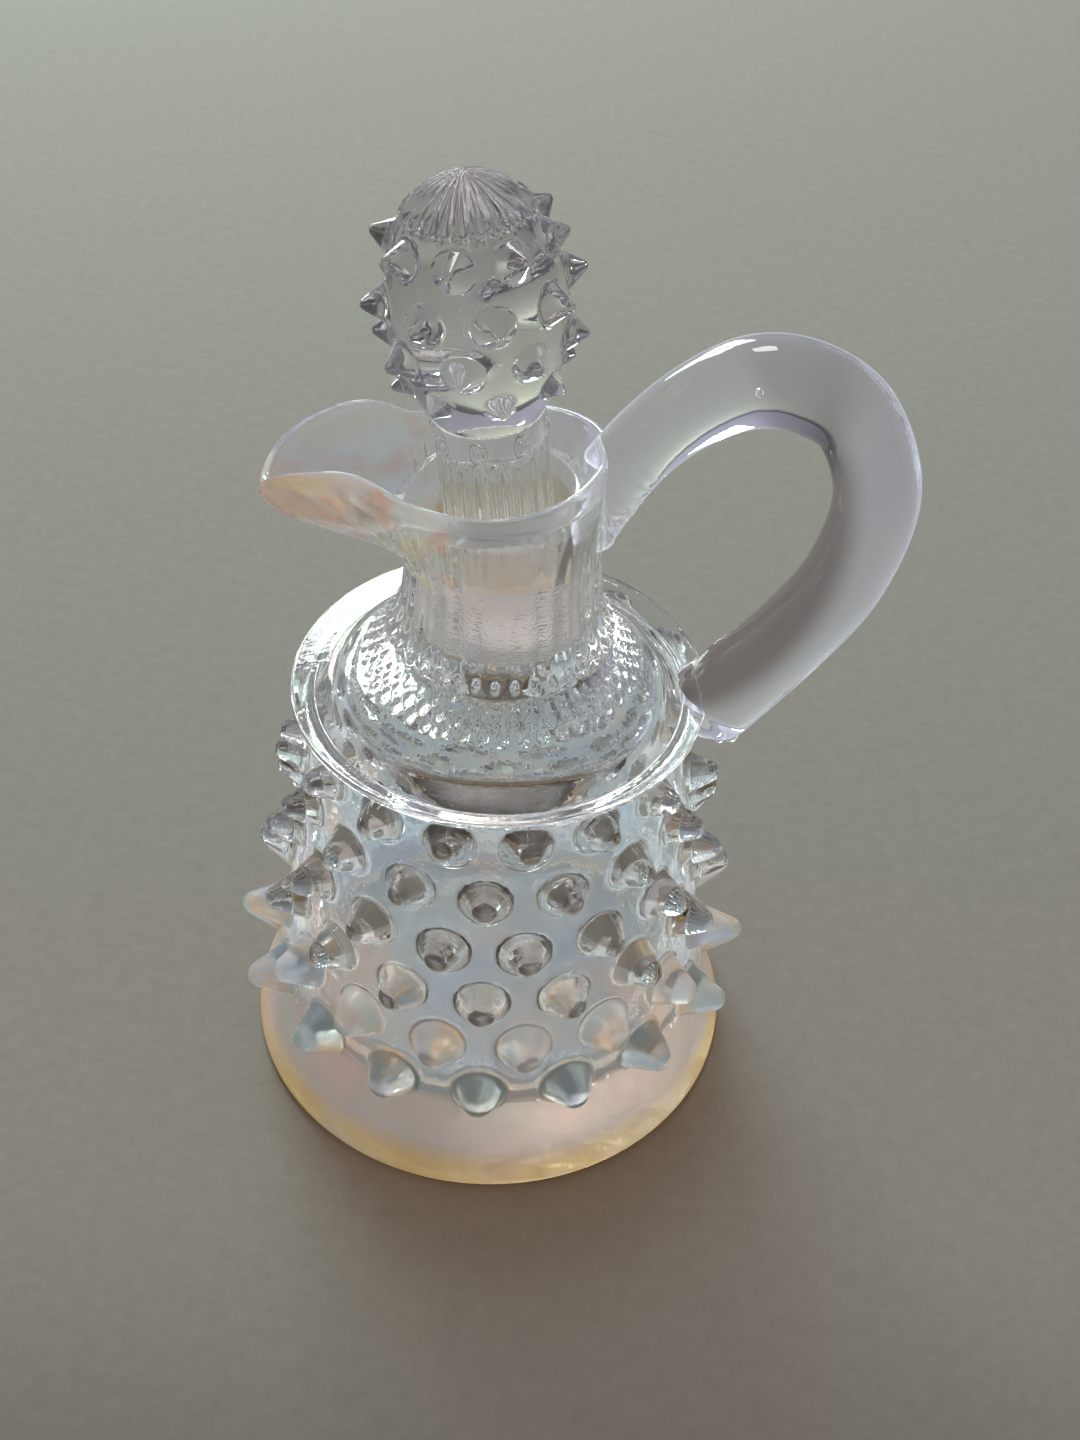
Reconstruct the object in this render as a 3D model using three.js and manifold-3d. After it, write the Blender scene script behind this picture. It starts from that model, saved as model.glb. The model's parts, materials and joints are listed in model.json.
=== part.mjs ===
// Hobnail glass cruet: a bottle with a pulled pouring lip, an applied handle and a ground stopper.
// Millimetres, +Z up. The origin is the centre of the flat underside, the spout points along -X
// and the handle stands on the +X side.
import * as THREE from "three";
import { mergeVertices } from "three/addons/utils/BufferGeometryUtils.js";
import Module from "manifold-3d";

// Gap kept between pieces that touch
const gap = 0.35;

// Bottle, outside: each outline point is [radius, height]
const footRadius = 32;
const footFlat = 30.8;
const wallOutline = [
  [footRadius, 0.9],
  [31.2, 3.2],
  [29.7, 8],
  [28.2, 15.4],
  [25.4, 29.4],
  [23, 44.6],
  [21.5, 55.2],
];
const flangeRadius = 24.6;
const flangeUnderside = 57.2;
const flangeTop = 58.7;
const flangeOutline = [
  [flangeRadius - 2.4, flangeUnderside - 0.5],
  [flangeRadius - 0.8, flangeUnderside],
  [flangeRadius, flangeUnderside + 0.6],
  [flangeRadius - 0.5, flangeTop - 0.3],
  [flangeRadius - 1.5, flangeTop],
];
const shoulderOutline = [
  [19.4, 59.1],
  [17.6, 60.5],
  [15.8, 62.6],
  [14, 65.2],
  [12.4, 68],
  [11.4, 71],
  [10.9, 75],
];

// Bottle, inside: the socket that takes the plug, and the hollow below it
const socketTop = [6.9, 77.5];
const socketFoot = [6.5, 60.5];
const hollowOutline = [
  [8.3, 58.3],
  [13, 56],
  [18, 53.4],
  [19.2, 49],
  [22.4, 29],
  [24.9, 14.5],
  [24.6, 9.4],
  [21, 6.6],
  [12, 6],
];

// Neck ribs: their number and depth, and the heights that they run between
const ribCount = 28;
const ribDepth = 0.28;
const ribFoot = 59.5;
const ribTop = 84;
const ribFootFade = 3;
const ribTopFade = 6;

// Pouring lip: rim radius all round, its reach at the spout and the width of the spout in degrees.
// The rim's rise towards the handle starts at rimRiseStart degrees from the spout.
const rimRadius = 11.1;
const spoutReach = 15.6;
const spoutHalfAngle = 22.2;
const spoutSharpness = 2.5;
const lipFoot = [10.7, 76.5];
const rimHeight = 88.1;
const rimRise = 2.4;
const rimRiseStart = 60;
const rimCrownHeight = 0.55;
const rimOuterShare = 0.3;
const rimInnerShare = 0.55;
const rimThickness = 1.9;
const lipRows = 5;

// Wings of the rim beside the spout and the dip at its tip: heights, and places in degrees
const wingRise = 2.2;
const wingAngle = 24;
const wingSpread = 11;
const tipDip = 3.8;
const tipSpread = 9;

// Throat inside the lip, and the trough from it to the tip of the spout
const throatRadius = 8.6;
const throatShift = 1;
const throatHeight = 85.8;
const throatStretch = 1.6;
const spoutDepth = 3.2;
const spoutSag = 0.13;
const spoutFloorDip = 1.4;
const spoutWallExtra = 0.6;

// Hobs on the body: rows of blunt cones, staggered from row to row. They are longer at the sides,
// and blunter and turned up at the front. A tip is a share of the base radius and of the length.
const hobsPerRow = 16;
const hobRows = [15.6, 22.3, 29.3, 36.8, 44.6, 52.2];
const hobBase = [3.5, 2.95];
const hobHeight = [4.0, 3.1];
const hobSideExtra = [1.58, 1.18];
const hobTilt = [11, 5];
const hobFrontTip = [0.5, 0.8];
const hobSideTip = [0.33, 0.86];
const hobSides = 7;
const hobSink = 1.2;

// Handle: centreline points [x, z] in the plane of the spout, with the rod's radius at each
const handlePath = [
  [7.5, 80.8, 4.1],
  [11.2, 87, 4.1],
  [15, 92.6, 4.1],
  [19.8, 97.2, 4.4],
  [25.3, 100, 4.8],
  [31, 99.5, 4.8],
  [36.4, 95.8, 4.6],
  [40, 86.8, 4.7],
  [38, 75.8, 4.7],
  [33, 66.7, 4.8],
  [27.6, 59.4, 5.1],
  [25.4, 54.8, 4.6],
];
const handleSteps = 30;
const handleSides = 14;
const handleEndLength = 3.3;
const handleEndShrink = 0.45;
const handleFootAngle = 20;

// Stopper, along its own axis from the point where that axis crosses the bottle's
const stopperPivot = 77;
const stopperLean = 6.5;
const plugFoot = -9.5;
const plugFootRadius = 5.2;
const plugChamfer = 0.45;
const plugTopRadius = 5.75;
const stemRadius = 5.85;
const stemRibDepth = 0.2;
const stemFoot = 0.8;
const stemTop = 15;
const collarRadius = 6.05;
const collarChamfer = 0.5;
const knobFoot = 18.4;
const knobCentre = 30.5;
const knobRadius = 9.1;
const knobHalfHeights = [15.8, 12.9];
const capHeight = 40.1;
const capRadius = 6.2;
const capLip = 0.35;
const capBevel = 0.5;
const capRise = 0.6;
const capMidRadius = 2.8;
const capMidHeight = 42.8;
const stopperTop = 44;
const capRays = 24;
const knobHobRows = [23.1, 27.4, 32.2, 37.5];
const knobHobsPerRow = 8;
const knobHobTurn = -97;
const knobHobTilt = 0.8;
const knobHobBase = [1.6, 2.05, 2.1, 2.05];
const knobHobHeight = [1.7, 2.3, 2.5, 2.4];
const knobHobTip = [0.18, 0.9];
const knobHobSides = 7;
const knobSteps = 7;
const knobTop = 39.6;

const wasm = await Module();
wasm.setup();

// A closed geometry as a solid that can be joined and cut
function toSolid(geometry) {
  const bare = geometry.clone();
  bare.deleteAttribute("normal");
  bare.deleteAttribute("uv");
  const merged = mergeVertices(bare, 1e-4);
  return new wasm.Manifold(
    new wasm.Mesh({
      numProp: 3,
      vertProperties: merged.attributes.position.array,
      triVerts: new Uint32Array(merged.index.array),
    }),
  );
}

// A solid as a geometry to draw
function toGeometry(solid) {
  const mesh = solid.getMesh();
  const geometry = new THREE.BufferGeometry();
  geometry.setAttribute("position", new THREE.BufferAttribute(mesh.vertProperties, 3));
  geometry.setIndex(new THREE.BufferAttribute(mesh.triVerts, 1));
  geometry.computeVertexNormals();
  return geometry;
}

// A closed skin over a stack of rings, from a start point through every ring to an end point
function skin(start, rings, end) {
  const count = rings[0].length;
  const points = [start, ...rings.flat(), end];
  const at = (ring, step) => 1 + ring * count + (step % count);
  const last = points.length - 1;
  const faces = [];
  for (let j = 0; j < count; j++) {
    faces.push(0, at(0, j + 1), at(0, j));
    faces.push(at(rings.length - 1, j), at(rings.length - 1, j + 1), last);
    for (let i = 0; i + 1 < rings.length; i++) {
      faces.push(at(i, j), at(i, j + 1), at(i + 1, j + 1));
      faces.push(at(i, j), at(i + 1, j + 1), at(i + 1, j));
    }
  }
  const geometry = new THREE.BufferGeometry();
  geometry.setFromPoints(points);
  geometry.setIndex(faces);
  return geometry;
}

// A ring round the Z axis: place gives [radius, height] at each angle
function ring(count, place) {
  return Array.from({ length: count }, (_, j) => {
    const angle = (2 * Math.PI * j) / count;
    const [radius, height] = place(angle);
    return new THREE.Vector3(radius * Math.cos(angle), radius * Math.sin(angle), height);
  });
}

// Evenly spaced [radius, height] points on a smooth line through the outline
function smooth(outline, steps) {
  const curve = new THREE.SplineCurve(outline.map(([r, z]) => new THREE.Vector2(r, z)));
  return curve.getSpacedPoints(steps).map((p) => [p.x, p.y]);
}

const mix = THREE.MathUtils.lerp;
const ease = THREE.MathUtils.smoothstep;
const onAxis = (height) => new THREE.Vector3(0, 0, height);

// Angle away from the spout, in degrees
function fromSpout(angle) {
  const degrees = THREE.MathUtils.radToDeg(angle);
  return Math.abs(THREE.MathUtils.euclideanModulo(degrees, 360) - 180);
}

// How much of the spout's reach there is at an angle: 1 at its tip, 0 all round the rest
function spoutShare(angle) {
  return 1 / (1 + (fromSpout(angle) / spoutHalfAngle) ** spoutSharpness);
}

// The rim climbs towards the handle, lifts on each side of the spout and dips at its tip
function rimTop(angle) {
  const away = fromSpout(angle);
  const wings = wingRise * Math.exp(-(((away - wingAngle) / wingSpread) ** 2));
  const dip = tipDip * Math.exp(-((away / tipSpread) ** 2));
  return rimHeight + rimRise * ease(away, rimRiseStart, 180) + wings - dip;
}

// Rib wave on the neck: full between its foot and the lip, gone above
function neckRib(angle, height) {
  const begun = ease(height, ribFoot, ribFoot + ribFootFade);
  const ended = ease(height, ribTop - ribTopFade, ribTop);
  return ribDepth * begun * (1 - ended) * Math.cos(ribCount * angle);
}

// Outside of the lip, from the neck at 0 to the rim at 1
function lipOutside(part) {
  return (angle) => {
    const share = spoutShare(angle);
    const radius = mix(lipFoot[0], rimRadius + spoutReach * share, ease(part ** 0.8, 0, 1));
    const sag = spoutSag * share * Math.sin(Math.PI * part ** 2);
    const height = mix(lipFoot[1], rimTop(angle), part - sag);
    return [radius + neckRib(angle, height), height];
  };
}

// Inside of the lip, from the rim at 0 to the throat at 1
function lipInside(part) {
  return (angle) => {
    const share = spoutShare(angle);
    const edge = rimRadius - rimThickness * rimInnerShare + (spoutReach - spoutWallExtra) * share;
    const throat = throatRadius - throatShift * Math.cos(angle) + throatStretch * share;
    const floor = throatHeight - spoutDepth * share;
    const height = mix(rimTop(angle), floor, ease(part ** 0.7, 0, 1));
    return [mix(edge, throat, part), height - spoutFloorDip * share * Math.sin(Math.PI * part)];
  };
}

// Round top of the rim
function rimCrown(angle) {
  const radius = rimRadius + spoutReach * spoutShare(angle) - rimThickness * rimOuterShare;
  return [radius, rimTop(angle) + rimCrownHeight];
}

// Radius of the body's wall at a height
function wallRadius(height) {
  const above = wallOutline.findIndex(([, z]) => z >= height);
  const [r0, z0] = wallOutline[above - 1];
  const [r1, z1] = wallOutline[above];
  return mix(r0, r1, (height - z0) / (z1 - z0));
}

// A blunt cone standing on the X axis at a radius, turned to an azimuth in degrees
function hob(radius, height, azimuth, base, length, tip, sides, tilt) {
  const section = [
    [base * (1 + hobSink / length), -hobSink],
    [base * tip[0], length * tip[1]],
  ];
  const rings = section.map(([r, z]) => ring(sides, () => [r, z]));
  const cone = skin(onAxis(-hobSink), rings, onAxis(length));
  cone.rotateY(Math.PI / 2 - tilt);
  cone.translate(radius, 0, height);
  cone.rotateZ(THREE.MathUtils.degToRad(azimuth));
  return toSolid(cone);
}

// All hobs of the body, without those that the foot of the handle covers
function bodyHobs() {
  const hobs = [];
  hobRows.forEach((height, row) => {
    const share = row / (hobRows.length - 1);
    const base = mix(hobBase[0], hobBase[1], share);
    const length = mix(hobHeight[0], hobHeight[1], share);
    const stagger = row % 2 ? 0.5 : 0;
    for (let i = 0; i < hobsPerRow; i++) {
      const azimuth = -90 + ((i + stagger) * 360) / hobsPerRow;
      const fromHandle = Math.min(Math.abs(azimuth), Math.abs(azimuth - 360));
      const covered = row === hobRows.length - 1 && fromHandle < handleFootAngle;
      const sideways = Math.cos(THREE.MathUtils.degToRad(azimuth)) ** 2;
      const extra = mix(hobSideExtra[0], hobSideExtra[1], share) * sideways;
      const tip = hobFrontTip.map((front, k) => mix(front, hobSideTip[k], sideways));
      const tilt = THREE.MathUtils.degToRad(mix(hobTilt[0], hobTilt[1], sideways));
      const size = [base, length + extra, tip, hobSides, tilt];
      if (!covered) hobs.push(hob(wallRadius(height), height, azimuth, ...size));
    }
  });
  return hobs;
}

// The bottle's skin runs up its outside, over the rim and down the inside to the floor
function makeBottle() {
  const count = 2 * ribCount;
  const plain = ([radius, height]) => ring(count, () => [radius, height]);
  const ribbed = ([radius, height]) =>
    ring(count, (angle) => [radius + neckRib(angle, height), height]);
  const steps = Array.from({ length: lipRows }, (_, i) => (i + 1) / lipRows);
  const rings = [
    plain([footFlat, 0]),
    ...smooth(wallOutline, 6).map(plain),
    ...flangeOutline.map(plain),
    ...smooth(shoulderOutline, 5).map(ribbed),
    ...[0, ...steps].map((part) => ring(count, lipOutside(part))),
    ring(count, rimCrown),
    ...[0, 0.3, 0.6, 1].map((part) => ring(count, lipInside(part))),
    plain(socketTop),
    plain(socketFoot),
    ...smooth(hollowOutline, 8).map(plain),
  ];
  const floor = hollowOutline[hollowOutline.length - 1][1];
  const shell = toSolid(skin(onAxis(0), rings, onAxis(floor)));
  return bodyHobs().reduce((whole, piece) => whole.add(piece), shell);
}

// The space that the bottle takes up on the handle's side, grown by the gap and filled
function bottleEnvelope() {
  const grow = (outline, rise) =>
    outline.map(([radius, height]) => ring(2 * ribCount, () => [radius + gap, height + rise]));
  const wallTop = flangeUnderside - 2.2;
  const lipRadius = rimRadius + 0.1;
  const above = 2 * rimHeight;
  const rings = [
    ...grow([...wallOutline.slice(0, -1), [wallRadius(wallTop), wallTop]], 0),
    ...grow([flangeOutline[0], [flangeRadius, flangeUnderside]], -gap),
    ...grow([[flangeRadius, flangeTop], ...shoulderOutline], gap),
    ...grow([[lipFoot[0] + ribDepth, lipFoot[1]]], gap),
    ...grow([[lipRadius, throatHeight], [lipRadius, above]], gap),
  ];
  return toSolid(skin(onAxis(0), rings, onAxis(above + gap)));
}

// A rod of changing thickness swept along the handle's centreline, cut to sit against the bottle
function makeHandle() {
  const path = new THREE.CatmullRomCurve3(
    handlePath.map(([x, z]) => new THREE.Vector3(x, 0, z)),
    false,
    "centripetal",
  );
  const side = new THREE.Vector3(0, 1, 0);
  const rings = [];
  for (let i = 0; i <= handleSteps; i++) {
    const part = i / handleSteps;
    const place = path.getPoint(part);
    const along = path.getTangent(part);
    const out = new THREE.Vector3().crossVectors(along, side);
    const span = part * (handlePath.length - 1);
    const low = Math.min(Math.floor(span), handlePath.length - 2);
    const radius = mix(handlePath[low][2], handlePath[low + 1][2], span - low);
    const section = Array.from({ length: handleSides }, (_, j) => {
      const angle = (-2 * Math.PI * j) / handleSides;
      return place
        .clone()
        .addScaledVector(out, radius * Math.cos(angle))
        .addScaledVector(side, radius * Math.sin(angle));
    });
    rings.push(section);
  }
  const end = path.getPoint(1).addScaledVector(path.getTangent(1), handleEndLength);
  const last = rings[rings.length - 1];
  rings.push(last.map((point) => point.clone().lerp(end, handleEndShrink)));
  const rod = toSolid(skin(path.getPoint(0), rings, end));
  return rod.subtract(bottleEnvelope());
}

// Half-height of the ellipse that gives the knob's outline, below its centre or above
function knobHalf(height) {
  return knobHalfHeights[height < knobCentre ? 0 : 1];
}

// Radius of the knob without its hobs, at a height on the stopper's axis
function knobSurface(height) {
  const part = (height - knobCentre) / knobHalf(height);
  return knobRadius * Math.sqrt(1 - part ** 2);
}

// Stopper: plug, ribbed stem, hobbed knob and pointed cap with rays, all one piece
function makeStopper() {
  const count = 2 * capRays;
  const plain = (radius, height) => ring(count, () => [radius, height]);
  const waved = (radius, height, depth) =>
    ring(count, (angle) => [radius + depth * Math.cos(capRays * angle), height]);
  const rings = [
    plain(plugFootRadius - plugChamfer, plugFoot),
    plain(plugFootRadius, plugFoot + plugChamfer),
    plain(plugTopRadius, 0),
    waved(stemRadius, stemFoot, stemRibDepth),
    waved(stemRadius, stemTop, stemRibDepth),
    plain(collarRadius, stemTop + collarChamfer),
    plain(collarRadius, knobFoot - collarChamfer),
  ];
  for (let i = 0; i <= knobSteps; i++) {
    const height = mix(knobFoot, knobTop, i / knobSteps);
    rings.push(plain(knobSurface(height), height));
  }
  rings.push(waved(capRadius, capHeight, capLip));
  rings.push(waved(capRadius - capBevel, capHeight + capRise, capLip));
  rings.push(waved(capMidRadius, capMidHeight, capLip * 0.4));
  const body = toSolid(skin(onAxis(plugFoot), rings, onAxis(stopperTop)));
  const hobs = knobHobRows.flatMap((height, row) => {
    const slope = ((height - knobCentre) * knobRadius ** 2) / knobHalf(height) ** 2;
    const tilt = knobHobTilt * Math.atan2(slope, knobSurface(height));
    return Array.from({ length: knobHobsPerRow }, (_, i) => {
      const azimuth = knobHobTurn + ((i + (row % 2 ? 0 : 0.5)) * 360) / knobHobsPerRow;
      const size = [knobHobBase[row], knobHobHeight[row], knobHobTip, knobHobSides, tilt];
      return hob(knobSurface(height), height, azimuth, ...size);
    });
  });
  return hobs.reduce((whole, piece) => whole.add(piece), body);
}

function glass(color, roughness) {
  return new THREE.MeshStandardMaterial({
    color,
    roughness,
    metalness: 0,
    transparent: true,
    opacity: 0.5,
  });
}

function named(name, solid, material) {
  const mesh = new THREE.Mesh(toGeometry(solid), material);
  mesh.name = name;
  return mesh;
}

const cruet = new THREE.Group();
cruet.add(named("bottle", makeBottle(), glass(0xd9dbdd, 0.06)));
cruet.add(named("handle", makeHandle(), glass(0xd5d8d6, 0.05)));

const stopperSeat = new THREE.Group();
stopperSeat.position.set(0, 0, stopperPivot);
stopperSeat.rotation.y = -THREE.MathUtils.degToRad(stopperLean);
stopperSeat.add(named("stopper", makeStopper(), glass(0xdddfe2, 0.12)));
cruet.add(stopperSeat);

export default cruet;
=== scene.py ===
import bpy
import bmesh
import json
import math
from mathutils import Matrix, Vector, noise


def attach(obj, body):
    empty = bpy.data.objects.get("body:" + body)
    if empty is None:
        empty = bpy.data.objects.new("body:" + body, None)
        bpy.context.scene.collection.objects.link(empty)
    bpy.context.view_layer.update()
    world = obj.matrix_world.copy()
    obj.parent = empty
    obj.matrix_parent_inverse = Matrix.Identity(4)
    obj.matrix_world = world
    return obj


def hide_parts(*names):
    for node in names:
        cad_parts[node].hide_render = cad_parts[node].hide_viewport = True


# Hobnail glass cruet: pressed opalescent bottle, applied handle and ground stopper.
# Lengths in the dictionaries are millimetres unless a note says otherwise. Meshes are made in metres.
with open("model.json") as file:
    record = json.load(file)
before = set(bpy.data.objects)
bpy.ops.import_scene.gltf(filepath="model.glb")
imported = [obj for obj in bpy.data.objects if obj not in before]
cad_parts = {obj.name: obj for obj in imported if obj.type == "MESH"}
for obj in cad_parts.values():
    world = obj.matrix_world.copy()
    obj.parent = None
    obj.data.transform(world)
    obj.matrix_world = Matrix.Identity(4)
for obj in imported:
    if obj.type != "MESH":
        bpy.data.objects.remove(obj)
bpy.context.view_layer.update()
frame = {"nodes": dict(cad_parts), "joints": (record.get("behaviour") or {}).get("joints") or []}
scene = bpy.context.scene
mm = 0.001
print("frame loaded:", sorted(frame["nodes"]))


# Small helpers

def mix(a, b, share):
    return a + (b - a) * share


def ease(value, low, high):
    share = min(1.0, max(0.0, (value - low) / (high - low)))
    return share * share * (3 - 2 * share)


def hump(value, middle, width):
    return math.exp(-((value - middle) / width) ** 2)


# Evenly spread points on a smooth curve through the given ones
def smoothLine(points, steps, fineSteps=16):
    fine = []
    last = len(points) - 1
    for i in range(last):
        p0, p1, p2, p3 = (points[max(0, min(last, i + k))] for k in (-1, 0, 1, 2))
        for j in range(fineSteps):
            t = j / fineSteps
            fine.append([
                0.5 * (2 * b + (c - a) * t + (2 * a - 5 * b + 4 * c - d) * t ** 2
                       + (3 * b - a - 3 * c + d) * t ** 3)
                for a, b, c, d in zip(p0, p1, p2, p3)
            ])
    fine.append(list(points[-1]))
    reach = [0.0]
    for a, b in zip(fine, fine[1:]):
        reach.append(reach[-1] + math.dist(a, b))
    spread, k = [], 0
    for step in range(steps + 1):
        goal = reach[-1] * step / steps
        while k < len(fine) - 2 and reach[k + 1] < goal:
            k += 1
        share = (goal - reach[k]) / max(1e-9, reach[k + 1] - reach[k])
        spread.append([mix(a, b, share) for a, b in zip(fine[k], fine[k + 1])])
    return spread


# Radius of an outline of [radius, height] points at a height
def radiusOn(outline, height):
    for (r0, z0), (r1, z1) in zip(outline, outline[1:]):
        if min(z0, z1) <= height <= max(z0, z1) and z0 != z1:
            return mix(r0, r1, (height - z0) / (z1 - z0))
    ends = sorted((outline[0], outline[-1]), key=lambda point: abs(point[1] - height))
    return ends[0][0]


# A ring of points round the Z axis, where place gives radius and height at each angle
def ringOf(count, place):
    points = []
    for j in range(count):
        angle = 2 * math.pi * j / count
        radius, height = place(angle)
        points.append(Vector((radius * math.cos(angle), radius * math.sin(angle), height)))
    return points


def plainRing(count, radius, height):
    return ringOf(count, lambda angle: (radius, height))


# A closed mesh over rings of equal count, from a start point to an end point
def skinMesh(name, rings, start, end):
    count = len(rings[0])
    points = [start] + [p for ring in rings for p in ring] + [end]
    last = len(points) - 1
    final = 1 + (len(rings) - 1) * count
    faces = [(0, 1 + (j + 1) % count, 1 + j) for j in range(count)]
    for i in range(len(rings) - 1):
        low, high = 1 + i * count, 1 + (i + 1) * count
        for j in range(count):
            k = (j + 1) % count
            faces.append((low + j, low + k, high + k, high + j))
    faces += [(final + j, final + (j + 1) % count, last) for j in range(count)]
    mesh = bpy.data.meshes.new(name)
    mesh.from_pydata([p * mm for p in points], [], faces)
    mesh.update()
    return mesh


def makePiece(name, mesh):
    piece = bpy.data.objects.new(name, mesh)
    scene.collection.objects.link(piece)
    return piece


# A blunt cone on the Z axis with a ball tip, which flares into the surface that it stands on.
# The bends are that surface's curvatures, up it and round it.
def hobMesh(base, height, tip, bends, piece):
    sides, steps, sink, flare = (piece[key] for key in ("hobSides", "hobSteps", "hobSink", "hobFlare"))
    rise = height - tip
    slope = math.atan2(rise, base) + math.asin(tip / math.hypot(rise, base))
    run = math.sqrt(rise ** 2 + base ** 2 - tip ** 2)
    inward, upward = math.cos(slope), math.sin(slope)
    rings = [plainRing(sides, base + flare, -sink)]
    for i in range(steps):
        part = i / steps
        radius = base + flare * ((1 - part) ** 2 - inward * part ** 2)

        def flared(angle):
            bend = bends[0] * math.cos(angle) ** 2 + bends[1] * math.sin(angle) ** 2
            return radius, flare * upward * part ** 2 - (1 - part) * radius ** 2 / 2 * bend

        rings.append(ringOf(sides, flared))
    for i in range(steps + 1):
        along = mix(flare, run, i / steps)
        rings.append(plainRing(sides, base - along * inward, along * upward))
    for i in range(1, steps):
        turn = mix(math.pi / 2 - slope, math.pi / 2, i / steps)
        rings.append(plainRing(sides, tip * math.cos(turn), rise + tip * math.sin(turn)))
    return skinMesh("hob", rings, Vector((0, 0, -sink)), Vector((0, 0, height)))


# Joins other closed meshes to a piece, or cuts them from it, with a solid boolean
def combine(target, mesh, operation):
    other = makePiece("other", mesh)
    change = target.modifiers.new("combine", "BOOLEAN")
    change.operation = operation
    change.solver = "MANIFOLD"
    change.object = other
    result = target.evaluated_get(bpy.context.evaluated_depsgraph_get())
    shaped = bpy.data.meshes.new_from_object(result)
    target.modifiers.clear()
    target.data = shaped
    bpy.data.objects.remove(other)


# One mesh from copies of others, each set at its matrix
def gather(name, places):
    joined = bmesh.new()
    for mesh, place in places:
        copy = mesh.copy()
        copy.transform(place)
        joined.from_mesh(copy)
        bpy.data.meshes.remove(copy)
    mesh = bpy.data.meshes.new(name)
    joined.to_mesh(mesh)
    joined.free()
    return mesh


# Stands something on a round wall, so that its Z axis points out at the azimuth, tilted up
def turnedPlace(radius, height, azimuth, tilt):
    turn = Matrix.Rotation(math.radians(azimuth), 4, "Z")
    lean = Matrix.Rotation(math.pi / 2 - tilt, 4, "Y")
    return turn @ Matrix.Translation(Vector((radius, 0, height)) * mm) @ lean


# Bottle

# Outlines are [radius, height] points. Pairs on the hobs run from the lowest row to the highest.
bottle = dict(
    columns=396,
    steps=dict(foot=8, wall=60, flange=56, shoulder=90, lip=26, edge=8, lipInside=18, funnel=8, socket=16,
               hollow=70),
    footOutline=[[30.6, 0], [31.5, 0.25], [32, 0.95], [31.75, 1.9]],
    wallOutline=[[31.75, 1.9], [31.2, 3.4], [29.7, 8], [28.2, 15.4], [25.4, 29.4], [23, 44.6],
                 [21.5, 55.2]],
    flangeOutline=[[21.5, 55.2], [21.8, 56.4], [23.2, 57.15], [24.2, 57.35], [24.5, 57.55], [24.6, 57.9],
                   [24.57, 58.3], [24.4, 58.52], [24.0, 58.6], [22.9, 58.68], [21.5, 58.8]],
    shoulderOutline=[[21.5, 58.8], [19.4, 59.1], [17.6, 60.5], [15.8, 62.6], [14, 65.2], [12.4, 68],
                     [11.4, 71], [10.9, 75]],
    hollowOutline=[[6.5, 60.5], [8.3, 58.3], [12.2, 56.3], [15.8, 53.8], [18.3, 50.4], [19.7, 45],
                   [22.4, 29], [24.6, 16], [24.3, 11.6], [22, 8.2], [17, 6.5], [10, 6], [1, 6]],
    socketTop=(6.9, 77.5), socketFoot=(6.5, 60.5),
    ribs=28, ribDepth=0.17, ribFrontShare=0.35, ribFoot=66, ribFootFade=4,
    ribFadeStart=(0.15, 0.5), ribFadeEnd=(0.75, 1),  # up the lip, at the back and at the spout
    fanRibs=66, fanDepth=0.16, fanAngle=40, fanSpread=24, fanMiddle=0.62, fanLength=0.26,
    beadRows=(67.6, 65.4, 64.1, 62.9), beadCounts=(36, 44, 44, 44), beadRise=0.5, beadHalfHeight=0.52,
    rimRadius=11.1, rimHeight=88.1, rimRise=2.4, rimRiseAngles=(60, 180), rimThickness=1.05,
    spoutReach=15.6, spoutHalfAngle=22.2, spoutSharpness=2.5, spoutSag=0.13, spoutSlope=1.2,
    wingRise=2.2, wingAngle=24, wingSpread=11, tipDip=3.8, tipSpread=9,
    lipFoot=(10.7, 76.5), lipCurve=0.8, lipInsideCurve=0.7, funnelCurve=0.6,
    throatRadius=8.6, throatShift=1.0, throatHeight=85.8, throatStretch=1.6,
    spoutDepth=3.2, spoutFloorDip=1.4, spoutWallExtra=0.6,
    hobsPerRow=16, hobRows=[15.6, 22.3, 29.3, 36.8, 44.6, 52.2],
    hobBase=(3.5, 2.95), hobHeight=(3.94, 3.1), hobSideExtra=(1.63, 1.18),
    hobTip=(1.6, 1.35), hobFrontTip=0.5, hobTilt=(11, 5),  # degrees at the front and at the sides
    hobSides=40, hobSteps=6, hobSink=1.4, hobFlare=0.55,
    handleFootAngle=20,
    waviness=0.07, flangeWaviness=0.035, waveLength=7, waveSeeds=dict(wall=3, flange=5, hollow=11),
    hollowWaveRadius=8, hollowWaveMost=2.2,
    smoothAngle=38,
)


def fromSpout(angle):
    return abs(math.degrees(angle) % 360 - 180)


def spoutShare(angle):
    return 1 / (1 + (fromSpout(angle) / bottle["spoutHalfAngle"]) ** bottle["spoutSharpness"])


def rimTop(angle):
    b, away = bottle, fromSpout(angle)
    wings = b["wingRise"] * hump(away, b["wingAngle"], b["wingSpread"])
    dip = b["tipDip"] * hump(away, 0, b["tipSpread"])
    return b["rimHeight"] + b["rimRise"] * ease(away, *b["rimRiseAngles"]) + wings - dip


# A flute's rise, which is lower on the front and back where the mould's halves met
def ribWave(angle):
    b = bottle
    return b["ribDepth"] * mix(b["ribFrontShare"], 1, math.cos(angle) ** 2) * math.cos(b["ribs"] * angle)


# Rise of the neck's flutes, which end in rows of beads where it spreads over the shoulder
def neckRib(angle, height):
    b = bottle
    flute = ribWave(angle) * ease(height, b["ribFoot"], b["ribFoot"] + b["ribFootFade"])
    beads = 0.0
    for row, (middle, count) in enumerate(zip(b["beadRows"], b["beadCounts"])):
        wave = max(0.0, math.cos(count * angle + math.pi * (row % 2)))
        beads += wave * hump(height, middle, b["beadHalfHeight"])
    return flute + b["beadRise"] * beads


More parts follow.
